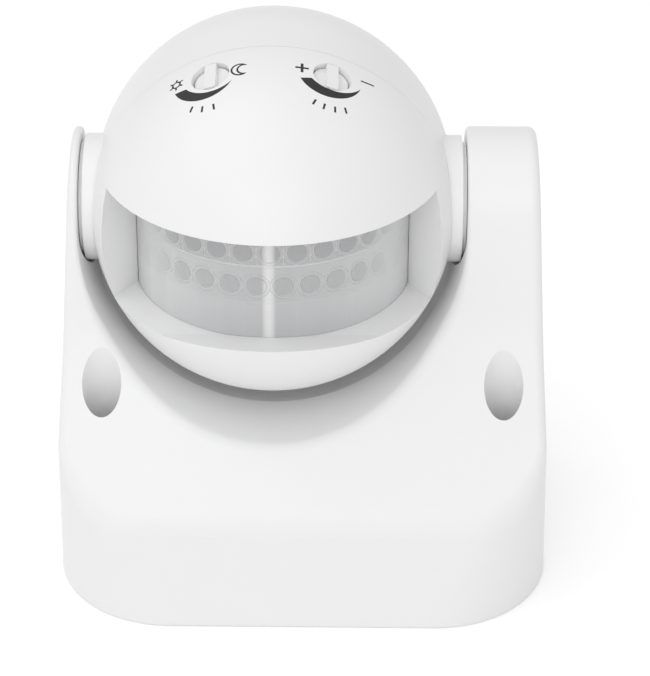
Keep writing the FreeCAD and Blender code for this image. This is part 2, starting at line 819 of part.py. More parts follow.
def windowPlan(name, widen):
    """The recess's plan: from the lens's edges out to the front, its sides flared."""
    body = newBody(name)
    plan = sketchOn(body, name + "Plan", "XY_Plane")
    half = s.apertureHalfAngle
    edgeX = lensRadius * sine(half) + widen
    edgeY = -lensRadius * cosine(half)
    reach = s.ballRadius + 2
    outline(plan, [
        (-edgeX, edgeY), (-edgeX - reach * sine(s.flareAngle), edgeY - reach * cosine(s.flareAngle)),
        (edgeX + reach * sine(s.flareAngle), edgeY - reach * cosine(s.flareAngle)), (edgeX, edgeY),
    ])
    pad(body, name + "Pad", plan, 2 * s.ballRadius, both=True)
    return place(body, axisX, lensY, axisZ)


def windowSide(name, widen):
    """The recess's side outline: level visor, level shelf and a lip that rises forward."""
    body = newBody(name)
    side = sketchOn(body, name + "Side", "YZ_Plane")
    front = -(s.ballRadius + halfMiddle + 2)
    outline(side, [
        (zero - s.lensCentre, -s.shelfHeight - widen), (-s.lipStart - s.lensCentre, -s.shelfHeight - widen),
        (front, s.lipRise - s.shelfHeight - widen), (front, s.visorHeight + widen),
        (zero - s.lensCentre, s.visorHeight + widen),
    ])
    pad(body, name + "Pad", side, 3 * s.ballRadius, both=True)
    return place(body, axisX, s.axisY, axisZ)


def frontShell():
    ball = halfBall("FrontBall", frontBallY, s.ballRadius, True)
    room = halfBall("FrontRoom", frontBallY, innerBall, True)
    shell = cut("FrontDome", ball, room)
    walls = common("RecessWalls", windowPlan("RecessOut", s.windowWall),
                   windowSide("RecessTall", s.windowWall),
                   halfBall("RecessBall", frontBallY, s.ballRadius, True))
    posts = [rod("FrontPost%d" % i, x, seamY, z, s.shellPostRadius, s.ballRadius, "-Y")
             for i, (x, z) in enumerate(screwPlaces())]
    cups = [radialRod("DialCup%d" % i, side, s.ballRadius - s.dialWellDeep - s.dialWall, s.ballRadius + 1,
                      s.dialWellRadius + s.dialWall) for i, side in enumerate((-1, 1))]
    inside = common("FrontInside", fuse("FrontPieces", *posts, *cups),
                    halfBall("FrontLimit", frontBallY, s.ballRadius - 0.3, True))
    tongueOut = rod("TongueOut", axisX, seamY - 0.5, axisZ, innerBall + s.seamStep, s.seamLap + 0.5, "+Y")
    tongueIn = rod("TongueIn", axisX, seamY - 1, axisZ, innerBall, s.seamLap + 2, "+Y")
    whole = fuse("FrontWhole", shell, walls, inside, cut("Tongue", tongueOut, tongueIn))
    tools = [
        common("Window", windowPlan("RecessPlan", zero), windowSide("RecessSide", zero)),
        rod("LensRoom", axisX, lensY, shelfZ - s.windowWall - 1, lensRadius,
            s.shelfHeight + s.visorHeight + 2 * s.windowWall + 2),
        rod("NotchLeft", axisX - 2 * s.ballRadius, s.axisY, axisZ,
            s.bossRadius + 0.15, 1.2 * s.ballRadius, "+X"),
        rod("NotchRight", axisX + 2 * s.ballRadius, s.axisY, axisZ,
            s.bossRadius + 0.15, 1.2 * s.ballRadius, "-X"),
    ]
    for i, side in enumerate((-1, 1)):
        tools.append(radialRod("DialWell%d" % i, side, s.ballRadius - s.dialWellDeep, s.ballRadius + 5,
                               s.dialWellRadius))
        tools.append(radialRod("StemHole%d" % i, side, s.ballRadius - s.dialWellDeep - s.dialWall - 1,
                               s.ballRadius, s.stemRadius + s.runningGap))
    for i, (x, z) in enumerate(screwPlaces()):
        tools.append(rod("FrontPilot%d" % i, x, seamY + 1, z, s.shellScrewRadius + 0.02, asSize(9), "-Y"))
    return cutAll("head_front_shell", whole, *tools)


def rearBall(name, radius):
    tube = rod(name + "Middle", axisX, seamY, axisZ, radius, s.ballMiddle, "+Y")
    return fuse(name, tube, halfBall(name + "Half", rearBallY, radius, False))


def pivotBoss(name, side):
    """A boss that fills the gap from the ball to the arm, with a flat face inside."""
    along = "+X" if side > 0 else "-X"
    return rod(name, axisX + side * hubFace, s.axisY, axisZ, s.bossRadius, bossEnd - hubFace, along)


def bossCore(name, side):
    """The ring that hollows a boss round its hub."""
    along = "+X" if side > 0 else "-X"
    start = axisX + side * (hubFace - 3)
    length = bossEnd - s.headWall - hubFace + 3
    room = rod(name + "Room", start, s.axisY, axisZ, s.bossRadius - s.headWall, length, along)
    hub = rod(name + "Hub", start - side, s.axisY, axisZ, s.sleeveFlange + 0.2, length + 2, along)
    return cut(name, room, hub)


def rearShell():
    dome = cut("RearDome", rearBall("RearOut", s.ballRadius), rearBall("RearIn", innerBall))
    posts = [rod("RearTube%d" % i, x, seamY, z, s.shellBossRadius, 2 * s.ballRadius, "+Y")
             for i, (x, z) in enumerate(screwPlaces())]
    posts += [rod("BoardPost%d" % i, axisX, boardBack, axisZ + side * boardPostZ,
                  s.boardPostRadius, 2 * s.ballRadius, "+Y") for i, side in enumerate((-1, 1))]
    inside = common("RearInside", fuse("RearPieces", *posts), rearBall("RearLimit", s.ballRadius - 0.3))
    whole = fuse("RearWhole", dome, inside, pivotBoss("BossLeft", -1), pivotBoss("BossRight", 1))
    tools = [
        rod("PinBore", axisX - bossEnd - 1, s.axisY, axisZ, s.pinRadius + s.runningGap, asSize(12), "+X"),
        rod("SleeveBore", axisX + bossEnd + 1, s.axisY, axisZ,
            s.sleeveRadius + s.runningGap, asSize(12), "-X"),
        cut("SeamRebate",
            rod("RebateOut", axisX, seamY - 1, axisZ, innerBall + s.seamStep + 0.08, s.seamLap + 1.1, "+Y"),
            rod("RebateIn", axisX, seamY - 2, axisZ, innerBall - 0.1, s.seamLap + 4, "+Y")),
        bossCore("CoreLeft", -1),
        bossCore("CoreRight", 1),
    ]
    for i, (x, z) in enumerate(screwPlaces()):
        seat = s.axisY + s.shellSeat
        outThrough = asSize(30)
        tools.append(rod("RearHole%d" % i, x, seamY - 1, z, s.shellScrewRadius + 0.2, outThrough, "+Y"))
        tools.append(rod("RearRecess%d" % i, x, seat, z, s.shellRecessRadius, outThrough, "+Y"))
    for i, side in enumerate((-1, 1)):
        tools.append(rod("BoardPilot%d" % i, axisX, boardBack - 1, axisZ + side * boardPostZ,
                         s.boardScrewRadius + 0.02, s.boardScrewLong + 1, "+Y"))
    return cutAll("head_rear_shell", whole, *tools)


def shellScrews():
    seat = s.axisY + s.shellSeat
    bodies, slots = [], []
    for i, (x, z) in enumerate(screwPlaces()):
        bodies.append(rod("ShellShank%d" % i, x, seat + 0.5, z,
                          s.shellScrewRadius, s.shellScrewLong + 0.5, "-Y"))
        bodies.append(rod("ShellHead%d" % i, x, seat, z, s.shellHeadRadius, s.shellHeadHigh, "+Y"))
        slots.append(box("ShellSlotA%d" % i, x - 1.6, seat + s.shellHeadHigh - 1, z - 0.3,
                         asSize(3.2), asSize(2), asSize(0.6)))
        slots.append(box("ShellSlotB%d" % i, x - 0.3, seat + s.shellHeadHigh - 1, z - 1.6,
                         asSize(0.6), asSize(2), asSize(3.2)))
    return cutAll("shell_screws", fuse("ShellScrewBodies", *bodies), *slots)


# Lens, sensor and dials

lensOuter = lensRadius - s.fitGap
lensInner = lensOuter - s.lensThick
lensLow = shelfZ - s.lensMargin
lensHigh = visorZ + s.lensMargin


def fresnelLens():
    return sector("fresnel_lens", lensY, lensInner, lensOuter, s.lensHalfAngle, lensLow, lensHigh)


def lensFrame():
    outside = lensInner - s.fitGap
    inside = outside - s.frameThick
    form = sector("FrameForm", lensY, inside, outside, s.lensHalfAngle, lensLow, lensHigh)
    opening = sector("FrameOpening", lensY, inside - 1, outside + 1, s.lensHalfAngle - 6,
                     lensLow + s.frameRail, lensHigh - s.frameRail)
    return cut("lens_frame", form, opening)


def sensorHolder():
    ring = rod("HolderForm", axisX, s.axisY + s.boardFront, axisZ, s.holderRadius, s.holderReach, "-Y")
    bore = rod("HolderBore", axisX, s.axisY + s.boardFront + 1, axisZ,
               s.canRadius - 1, s.holderReach + 2, "-Y")
    return cut("sensor_holder", ring, bore)


canBack = s.axisY + s.boardFront - s.holderReach


def sensorCan():
    can = rod("CanBody", axisX, canBack, axisZ, s.canRadius, s.canHigh, "-Y")
    rim = rod("CanRim", axisX, canBack, axisZ, s.canRim, s.canRimThick, "-Y")
    half = s.canWindow / 2
    opening = box("CanOpening", axisX - half, canBack - s.canHigh - 1, axisZ - half, s.canWindow,
                  s.canWindowThick + 1, s.canWindow)
    return cut("sensor_can", fuse("CanForm", can, rim), opening)


def sensorWindow():
    half = s.canWindow / 2 - 0.02
    return box("sensor_window", axisX - half, canBack - s.canHigh, axisZ - half, 2 * half,
               s.canWindowThick, 2 * half)


def dial(name, side):
    """A dial in its well: a disc, a grip bar across it and a stem down to the control."""
    floor = s.ballRadius - s.dialWellDeep
    low = floor + 0.1
    disc = radialRod(name + "Disc", side, low, low + s.dialThick, s.dialRadius)
    ridge = document.addObject("Part::Box", name + "Ridge")
    bind(ridge, Length=s.dialGripWide, Width=2 * s.dialRadius, Height=s.dialGripHigh + 0.5)
    radialPlace(ridge, side, low + s.dialThick - 0.5, -s.dialGripWide / 2, -s.dialRadius)
    rim = radialRod(name + "Round", side, low, s.ballRadius + 3, s.dialRadius - 0.05)
    grip = common(name + "Grip", ridge, rim)
    stem = radialRod(name + "Stem", side, floor - s.dialWall - s.stemReach, low + 0.5, s.stemRadius)
    return fuse(name, disc, grip, stem)


def potentiometer(name, side):
    top = s.ballRadius - s.dialWellDeep - s.dialWall - 0.02
    form = radialRod(name + "Form", side, top - s.potHigh, top, s.potRadius)
    bore = radialRod(name + "Bore", side, top - s.potHigh - 1, top + 1, s.stemRadius + s.runningGap)
    return cut(name, form, bore)


# Pivot hardware

def pivotSleeve():
    seat = axisX + hubFace
    tube = rod("SleeveTube", seat - s.sleeveFlangeThick, s.axisY, axisZ, s.sleeveRadius,
               axisX + sleeveEnd - seat + s.sleeveFlangeThick, "+X")
    flange = rod("SleeveFlange", seat - s.sleeveFlangeThick - 0.02, s.axisY, axisZ, s.sleeveFlange,
                 s.sleeveFlangeThick, "+X")
    bore = rod("SleeveInside", axisX, s.axisY, axisZ, s.sleeveBore, 2 * s.ballRadius, "+X")
    return cut("pivot_sleeve", fuse("SleeveForm", tube, flange), bore)


armInside = armFaceRight + s.baseWall


def springWasher():
    """A dished washer between the arm's wall and the nut."""
    x = armInside + 0.05
    form = cone("WasherForm", x, s.axisY, axisZ,
                s.washerRadius, s.washerRadius - 1.5, s.washerThick - 0.1, "+X")
    bore = rod("WasherBore", x - 1, s.axisY, axisZ, s.sleeveRadius + 0.04, s.washerThick + 2, "+X")
    dish = cone("WasherDish", x - 0.01, s.axisY, axisZ,
                s.washerRadius - 0.6, s.sleeveRadius, s.washerThick / 2, "+X")
    return cutAll("spring_washer", form, bore, dish)


def pivotNut():
    hexagon = document.addObject("Part::Prism", "NutForm")
    hexagon.Polygon = 6
    hexagon.Placement = FreeCAD.Placement(vector(), turns["+X"])
    bind(hexagon, Circumradius=s.nutAcross / math.sqrt(3), Height=s.nutThick)
    place(hexagon, armInside + s.washerThick, s.axisY, axisZ)
    bore = rod("NutBore", armInside, s.axisY, axisZ, s.sleeveRadius + 0.04, asSize(20), "+X")
    return cut("pivot_nut", hexagon, bore)


def frictionRings():
    rings = []
    for i, side in enumerate((-1, 1)):
        along = "+X" if side > 0 else "-X"
        start = axisX + side * bossEnd
        ring = rod("RingForm%d" % i, start, s.axisY, axisZ, s.ringRadius, s.ringThick, along)
        bore = rod("RingBore%d" % i, start - side, s.axisY, axisZ, s.sleeveRadius + 1.2, asSize(4), along)
        rings.append(cut("Ring%d" % i, ring, bore))
    return fuse("friction_rings", *rings)


# Board and what it carries

def circuitBoard():
    front = s.axisY + s.boardFront
    disc = rod("BoardDisc", axisX, front, axisZ, boardRadius, s.boardThick, "+Y")
    limit = box("BoardLimit", axisX - boardHalfWide, front - 1, axisZ - boardRadius - 1,
                2 * boardHalfWide, s.boardThick + 2, 2 * boardRadius + 2)
    holes = [rod("BoardNotch%d" % i, x, front - 1, z, s.shellBossRadius + 0.3, s.boardThick + 2, "+Y")
             for i, (x, z) in enumerate(screwPlaces())]
    holes += [rod("BoardHole%d" % i, axisX, front - 1, axisZ + side * boardPostZ,
                  s.boardScrewRadius + 0.1, s.boardThick + 2, "+Y") for i, side in enumerate((-1, 1))]
    return cutAll("circuit_board", common("BoardForm", disc, limit), *holes)


def boardScrews():
    front = s.axisY + s.boardFront
    bodies = []
    for i, side in enumerate((-1, 1)):
        z = axisZ + side * boardPostZ
        bodies.append(rod("BoardHead%d" % i, axisX, front, z, s.boardHeadRadius,
                          s.boardHeadHigh, "-Y"))
        bodies.append(rod("BoardShank%d" % i, axisX, front - 0.5, z, s.boardScrewRadius,
                          s.boardScrewLong + 0.5, "+Y"))
    return fuse("board_screws", *bodies)


def relay():
    return box("relay", axisX - s.relayWide - 2, boardBack, axisZ - s.relayHigh / 2,
               s.relayWide, s.relayDeep, s.relayHigh)


def roundCapacitor():
    can = rod("RoundCapForm", axisX + 5, boardBack, axisZ + 8.5, s.capRadius, s.capLong, "+Y")
    groove = cut("RoundCapGroove",
                 rod("GrooveOut", axisX + 5, boardBack + 1.5, axisZ + 8.5,
                     s.capRadius + 1, asSize(0.8), "+Y"),
                 rod("GrooveIn", axisX + 5, boardBack + 1, axisZ + 8.5, s.capRadius - 0.4, asSize(2), "+Y"))
    return cut("round_capacitor", can, groove)


def filmCapacitor():
    return box("film_capacitor", axisX + 2, boardBack, axisZ - s.filmHigh - 3,
               s.filmWide, s.filmDeep, s.filmHigh)


def leadSocket():
    x = axisX + boardHalfWide - 3.5 - s.socketWide
    return box("lead_socket", x, boardBack, axisZ - s.socketHigh / 2,
               s.socketWide, s.socketDeep, s.socketHigh)


def lightCell():
    cell = rod("CellForm", axisX + 11, s.axisY + s.boardFront, axisZ + 4, s.cellRadius, s.cellHigh, "-Y")
    flat = box("CellFlat", axisX + 11 + s.cellRadius * 0.8, s.axisY - 5, axisZ,
               asSize(3), asSize(10), asSize(9))
    return cut("light_cell", cell, flat)


pieces = [
    baseHousing(), basePlate(), baseSeal(), plateScrews(), cableGrommet(), terminalBlock(), terminalClamps(),
    terminalScrews(), baseLeads(), headLeads(), frontShell(), rearShell(), shellScrews(), fresnelLens(),
    lensFrame(), sensorHolder(), sensorCan(), sensorWindow(), dial("light_dial", -1), dial("delay_dial", 1),
    potentiometer("light_potentiometer", -1), potentiometer("delay_potentiometer", 1), pivotSleeve(),
    springWasher(), pivotNut(), frictionRings(), circuitBoard(), boardScrews(), relay(), roundCapacitor(),
    filmCapacitor(), leadSocket(), lightCell(),
]
document.recompute()

for item in document.Objects:
    if "Invalid" in item.State or "Error" in item.State:
        raise RuntimeError("%s did not build: %s" % (item.Name, item.State))
for piece in pieces:
    piece.Label = piece.Name
    if piece.Shape.isNull() or not piece.Shape.isValid():
        raise RuntimeError(piece.Name + " has no valid shape")

os.makedirs("parts", exist_ok=True)
for piece in pieces:
    piece.Shape.exportStep("parts/" + piece.Label + ".step")
    print("%-20s solids %d volume %.0f" % (piece.Label, len(piece.Shape.Solids), piece.Shape.Volume))
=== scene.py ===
import math
import bpy
from mathutils import Matrix, Vector

# Motion sensor: a round head that tilts between the two arms of its base.
# Metres. z = 0 is the flat mounting side, -Y is the way the lens looks.

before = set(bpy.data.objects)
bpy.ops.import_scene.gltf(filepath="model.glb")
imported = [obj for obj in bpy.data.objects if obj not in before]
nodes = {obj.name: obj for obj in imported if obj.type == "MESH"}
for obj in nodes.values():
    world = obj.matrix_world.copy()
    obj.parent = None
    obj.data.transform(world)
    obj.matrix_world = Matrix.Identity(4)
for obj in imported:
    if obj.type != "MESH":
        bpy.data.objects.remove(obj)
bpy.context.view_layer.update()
print("loaded", len(nodes), "solids")

# where the head tilts, and the middles of its front ball and of its curved lens
headPlaces = {
    "tiltAxis": Vector((-0.0055, 0.0083, 0.0676)),
    "frontBall": Vector((-0.0055, 0.0039, 0.0676)),
    "ballRadius": 0.0324,
    "lensLine": Vector((-0.0055, 0.0045, 0.0676)),
    "dialOffset": (0.0105, -0.0067, 0.0299),
}

# the camera stands where the photo was taken from; angles in degrees
cameraView = {
    "lookAt": Vector((0.0, 0.0, 0.045)),
    "elevation": 32.0,
    "azimuth": 0.8,
    "distance": 0.4975,
    "lens": 145.7,
    "shift": (0.0315, -0.0145),
}


def placeCamera(view):
    elevation = math.radians(view["elevation"])
    azimuth = math.radians(view["azimuth"])
    level = math.cos(elevation)
    forward = Vector((-math.sin(azimuth) * level, math.cos(azimuth) * level, -math.sin(elevation)))
    right = Vector((math.cos(azimuth), math.sin(azimuth), 0.0))
    up = right.cross(forward)
    data = bpy.data.cameras.new("camera")
    data.sensor_width = 36.0
    data.lens = view["lens"]
    data.shift_x, data.shift_y = view["shift"]
    data.clip_start, data.clip_end = 0.01, 20.0
    camera = bpy.data.objects.new("camera", data)
    bpy.context.scene.collection.objects.link(camera)
    turn = Matrix((right, up, -forward)).transposed().to_4x4()
    camera.matrix_world = Matrix.Translation(view["lookAt"] - forward * view["distance"]) @ turn
    bpy.context.scene.camera = camera


placeCamera(cameraView)
bpy.context.scene.view_settings.view_transform = "Standard"
print("camera placed")


# one socket of a material's nodes; sums written with it add their Math nodes
class Link:
    def __init__(self, paint, socket):
        self.paint = paint
        self.socket = socket

    def math(self, operation, *others):
        values = dict(enumerate((self,) + others))
        return self.paint.node("Math", {"operation": operation}, values)

    def flipped(self, operation, other):
        return self.paint.node("Math", {"operation": operation}, {0: other, 1: self})

    def __add__(self, other):
        return self.math("ADD", other)

    def __radd__(self, other):
        return self.flipped("ADD", other)

    def __sub__(self, other):
        return self.math("SUBTRACT", other)

    def __rsub__(self, other):
        return self.flipped("SUBTRACT", other)

    def __mul__(self, other):
        return self.math("MULTIPLY", other)

    def __rmul__(self, other):
        return self.flipped("MULTIPLY", other)

    def __truediv__(self, other):
        return self.math("DIVIDE", other)

    def __rtruediv__(self, other):
        return self.flipped("DIVIDE", other)

    def __lt__(self, other):
        return self.math("LESS_THAN", other)

    def __gt__(self, other):
        return self.math("GREATER_THAN", other)

    def __or__(self, other):
        return self.math("MAXIMUM", other)

    def __and__(self, other):
        return self.math("MINIMUM", other)

    def __abs__(self):
        return self.math("ABSOLUTE")

    def fraction(self):
        return self.math("FRACT")

    def sine(self):
        return self.math("SINE")

    # the length of the arrow (self, other)
    def reach(self, other):
        return (self * self + other * other).math("SQRT")

    # 1 on the value, falling to 0 at a distance of width from it
    def near(self, value, width):
        return (1 - abs(self - value) / width) | 0.0


class Paint:
    def __init__(self, name):
        self.material = bpy.data.materials.new(name)
        self.material.use_nodes = True
        self.tree = self.material.node_tree
        self.tree.nodes.clear()

    def node(self, kind, settings, inputs, output=0):
        made = self.tree.nodes.new("ShaderNode" + kind)
        for name, value in settings.items():
            if name == "stops":
                while len(made.color_ramp.elements) < len(value):
                    made.color_ramp.elements.new(0.5)
                for element, (spot, colour) in zip(made.color_ramp.elements, value):
                    element.position = spot
                    element.color = (*colour, 1.0)
            else:
                setattr(made, name, value)
        for key, value in inputs.items():
            if isinstance(value, Link):
                self.tree.links.new(value.socket, made.inputs[key])
            else:
                made.inputs[key].default_value = value
        return Link(self, made.outputs[output])

    def place(self):
        return self.node("TexCoord", {}, {}, "Object")

    def axes(self, place):
        parts = self.node("SeparateXYZ", {}, {0: place})
        return [Link(self, socket) for socket in parts.socket.node.outputs]

    def shifted(self, place, middle):
        return self.node("VectorMath", {"operation": "SUBTRACT"}, {0: place, 1: tuple(middle)})

    def along(self, place, direction):
        return self.node("VectorMath", {"operation": "DOT_PRODUCT"}, {0: place, 1: tuple(direction)}, "Value")

    def noise(self, place, scale, detail=2.0, stretch=(1.0, 1.0, 1.0)):
        drawn = self.node("Mapping", {}, {"Vector": place, "Scale": stretch})
        return self.node("TexNoise", {}, {"Vector": drawn, "Scale": scale, "Detail": detail})

    def blend(self, share, first, second):
        colours = [c if isinstance(c, Link) else (*c, 1.0) for c in (first, second)]
        return self.node("Mix", {"data_type": "RGBA"}, {0: share, 6: colours[0], 7: colours[1]}, 2)

    def bump(self, height, depth, under=None):
        inputs = {"Height": height, "Distance": depth, "Strength": 1.0}
        if under is not None:
            inputs["Normal"] = under
        return self.node("Bump", {}, inputs)

    def surface(self, **sockets):
        inputs = {name.replace("_", " "): value for name, value in sockets.items()}
        shader = self.node("BsdfPrincipled", {}, inputs)
        output = self.tree.nodes.new("ShaderNodeOutputMaterial")
        self.tree.links.new(shader.socket, output.inputs["Surface"])
        return self.material


def dress(material, *names):
    for name in names:
        for slot in nodes[name].material_slots:
            slot.material = material


# moulded plastics: a fine spark-eroded grain, slow changes of tone and of gloss
plasticLooks = {
    "whitePlastic": {"colour": (0.93, 0.93, 0.932), "shade": (0.918, 0.919, 0.922), "roughness": 0.36,
                     "grainScale": 2600.0, "grainDepth": 0.00001, "coat": 0.0},
    "clearGreyPlastic": {"colour": (0.92, 0.922, 0.925), "shade": (0.90, 0.902, 0.905), "roughness": 0.25,
                         "grainScale": 1800.0, "grainDepth": 0.000006, "coat": 0.2},
    "blackPlastic": {"colour": (0.045, 0.045, 0.05), "shade": (0.03, 0.03, 0.034), "roughness": 0.5,
                     "grainScale": 2200.0, "grainDepth": 0.00002, "coat": 0.0},
    "nylonPlastic": {"colour": (0.78, 0.76, 0.69), "shade": (0.72, 0.70, 0.63), "roughness": 0.45,
                     "grainScale": 1500.0, "grainDepth": 0.00001, "coat": 0.0},
    "relayPlastic": {"colour": (0.05, 0.12, 0.36), "shade": (0.04, 0.10, 0.31), "roughness": 0.3,
                     "grainScale": 1500.0, "grainDepth": 0.00001, "coat": 0.1},
    "sleevePlastic": {"colour": (0.04, 0.04, 0.05), "shade": (0.03, 0.03, 0.04), "roughness": 0.28,
                      "grainScale": 900.0, "grainDepth": 0.00001, "coat": 0.1},
    "filmPlastic": {"colour": (0.55, 0.33, 0.05), "shade": (0.50, 0.29, 0.04), "roughness": 0.33,
                    "grainScale": 900.0, "grainDepth": 0.00001, "coat": 0.1},
    "cellResin": {"colour": (0.40, 0.16, 0.06), "shade": (0.34, 0.13, 0.05), "roughness": 0.2,
                  "grainScale": 900.0, "grainDepth": 0.000004, "coat": 0.3},
    "darkRubber": {"colour": (0.035, 0.035, 0.036), "shade": (0.05, 0.05, 0.05), "roughness": 0.72,
                   "grainScale": 3200.0, "grainDepth": 0.00003, "coat": 0.0},
}
plasticFinish = {"cloudScale": 45.0, "cloudGloss": 0.12, "grainGloss": 0.08, "inkGloss": 0.1, "ior": 1.48}


def mouldedPlastic(name, marks=None, seam=None):
    look = plasticLooks[name]
    finish = plasticFinish
    paint = Paint(name + ("Marked" if marks else "") + ("Seamed" if seam else ""))
    place = paint.place()
    clouds = paint.noise(place, finish["cloudScale"], 3.0)
    grain = paint.noise(place, look["grainScale"], 2.0)
    colour = paint.blend(clouds, look["colour"], look["shade"])
    roughness = look["roughness"] + (clouds - 0.5) * finish["cloudGloss"]
    roughness = roughness + (grain - 0.5) * finish["grainGloss"]
    if marks is not None:
        printed = marks(paint, place)
        colour = paint.blend(printed, colour, markLook["ink"])
        roughness = roughness + printed * finish["inkGloss"]
    relief = paint.bump(grain, look["grainDepth"])
    if seam is not None:
        x, y = paint.axes(paint.shifted(place, headPlaces["frontBall"]))[:2]
        groove = y.near(0.0, seam["width"]) * (abs(x) < seam["reach"])
        relief = paint.bump(1 - groove, seam["depth"], relief)
    return paint.surface(Base_Color=colour, Roughness=roughness, Normal=relief, Coat_Weight=look["coat"],
                         IOR=finish["ior"])


# metals: brushed or drawn lines and a little dulling
metalLooks = {
    "platedSteel": {"colour": (0.62, 0.62, 0.63), "shade": (0.50, 0.50, 0.50), "roughness": 0.3,
                    "stretch": (1.0, 1.0, 6.0)},
    "canSteel": {"colour": (0.60, 0.59, 0.56), "shade": (0.52, 0.51, 0.48), "roughness": 0.22,
                 "stretch": (1.0, 5.0, 1.0)},
    "bareBrass": {"colour": (0.72, 0.52, 0.22), "shade": (0.60, 0.42, 0.17), "roughness": 0.28,
                  "stretch": (5.0, 1.0, 1.0)},
}
metalFinish = {"lineScale": 900.0, "lineGloss": 0.2, "lineDepth": 0.000008,
               "dullScale": 160.0, "dullGloss": 0.08}


def workedMetal(name):
    look = metalLooks[name]
    finish = metalFinish
    paint = Paint(name)
    place = paint.place()
    lines = paint.noise(place, finish["lineScale"], 3.0, look["stretch"])
    dulling = paint.noise(place, finish["dullScale"], 3.0)
    colour = paint.blend(dulling, look["colour"], look["shade"])
    roughness = look["roughness"] + (lines - 0.5) * finish["lineGloss"] + dulling * finish["dullGloss"]
    return paint.surface(Base_Color=colour, Roughness=roughness, Metallic=1.0,
                         Normal=paint.bump(lines, finish["lineDepth"]))


# what is printed on the dome, in millimetres from each dial's middle:
# a tapered arc below the dial, a sign at each end of its turn and a few ticks
markLook = {
    "ink": (0.022, 0.022, 0.024),
    "arcs": {-1: {"outer": (-1.18, 0.39, 5.77), "inner": (0.02, 1.36, 5.33), "end": (-1.63, 0.0)},
             1: {"outer": (-0.41, 0.60, 5.78), "inner": (0.51, 1.96, 5.47), "end": (-0.83, 0.2)}},
    "tickAngles": {-1: (-117.0, -101.0, -85.0), 1: (-113.0, -99.0, -84.0, -69.0)},
    "tickReach": (6.9, 8.1),
    "tickHalf": 0.19,
    "sun": {"middle": (-6.4, 0.62), "ring": 0.72, "rays": 6, "reach": 1.42},
    "moon": {"middle": (5.27, 0.17), "outer": 1.42, "inner": 1.2, "apart": 0.78, "tips": (1.1, 1.5)},
    "plus": {"middle": (-5.38, 0.66), "level": (1.15, 0.23), "upright": (0.24, 1.2)},
    "minus": {"middle": (6.55, 1.55), "half": (1.3, 0.19), "rise": 0.097},
    "line": 0.17,
    "deep": 0.006,  # metres below a dial where its marks end
}

# the fine groove where the head's two shells meet
seamLook = {"width": 0.0003, "depth": 0.00009, "reach": 0.030}


# the middle of a dial on the dome, and the directions to its right and away from the viewer
def dialPlane(side):
    offset = headPlaces["dialOffset"]
    outward = Vector((side * offset[0], offset[1], offset[2])).normalized()
    right = (Vector((1.0, 0.0, 0.0)) - outward * outward.x).normalized()
    return headPlaces["frontBall"] + outward * headPlaces["ballRadius"], outward, right, outward.cross(right)


def insideDisc(across, up, disc):
    return (across - disc[0]).reach(up - disc[1]) < disc[2]


# 1 where the ink lies and 0 elsewhere
def domeMarks(paint, place):
    look = markLook
    line = look["line"]
    dials = []
    for side in (-1, 1):
        printed = []
        middle, outward, right, away = dialPlane(side)
        nearby = paint.shifted(place, middle)
        nearDial = paint.along(nearby, outward) > -look["deep"]
        across = paint.along(nearby, right) * 1000.0
        up = paint.along(nearby, away) * 1000.0
        arc = look["arcs"][side]
        below = up < across * arc["end"][1] + arc["end"][0]
        crescent = insideDisc(across, up, arc["outer"]) & (1 - insideDisc(across, up, arc["inner"]))
        printed.append(crescent & below)
        for angle in look["tickAngles"][side]:
            turn = math.radians(angle)
            outwards = across * math.cos(turn) + up * math.sin(turn)
            sideways = across * -math.sin(turn) + up * math.cos(turn)
            start, end = look["tickReach"]
            printed.append((outwards > start) & (outwards < end) & (abs(sideways) < look["tickHalf"]))
        if side < 0:
            printed += [sunSign(across, up, look["sun"], line), moonSign(across, up, look["moon"], line)]
        else:
            printed += [plusSign(across, up, look["plus"]), minusSign(across, up, look["minus"])]
        marks = printed[0]
        for shape in printed[1:]:
            marks = marks | shape
        dials.append(marks & nearDial)
    return dials[0] | dials[1]


def fromMiddle(across, up, sign):
    return across - sign["middle"][0], up - sign["middle"][1]


# a small ring with rays round it
def sunSign(across, up, sun, line):
    x, y = fromMiddle(across, up, sun)
    distance = x.reach(y)
    ring = abs(distance - sun["ring"]) < line
    turn = (y.math("ARCTAN2", x) * (sun["rays"] / math.tau)).fraction() - 0.5
    beam = abs(turn * (math.tau / sun["rays"]) * distance) < line
    return ring | (beam & (distance > sun["ring"]) & (distance < sun["reach"]))


# the outline of a crescent that opens to the right
def moonSign(across, up, moon, line):
    x, y = fromMiddle(across, up, moon)
    outer = x.reach(y)
    inner = (x - moon["apart"]).reach(y)
    back = (abs(outer - moon["outer"]) < line) & (inner > moon["tips"][0])
    front = (abs(inner - moon["inner"]) < line) & (outer < moon["tips"][1])
    return back | front


def plusSign(across, up, plus):
    x, y = fromMiddle(across, up, plus)
    level = (abs(x) < plus["level"][0]) & (abs(y) < plus["level"][1])
    return level | ((abs(x) < plus["upright"][0]) & (abs(y) < plus["upright"][1]))


def minusSign(across, up, minus):
    x, y = fromMiddle(across, up, minus)
    return (abs(x) < minus["half"][0]) & (abs(y - x * minus["rise"]) < minus["half"][1])


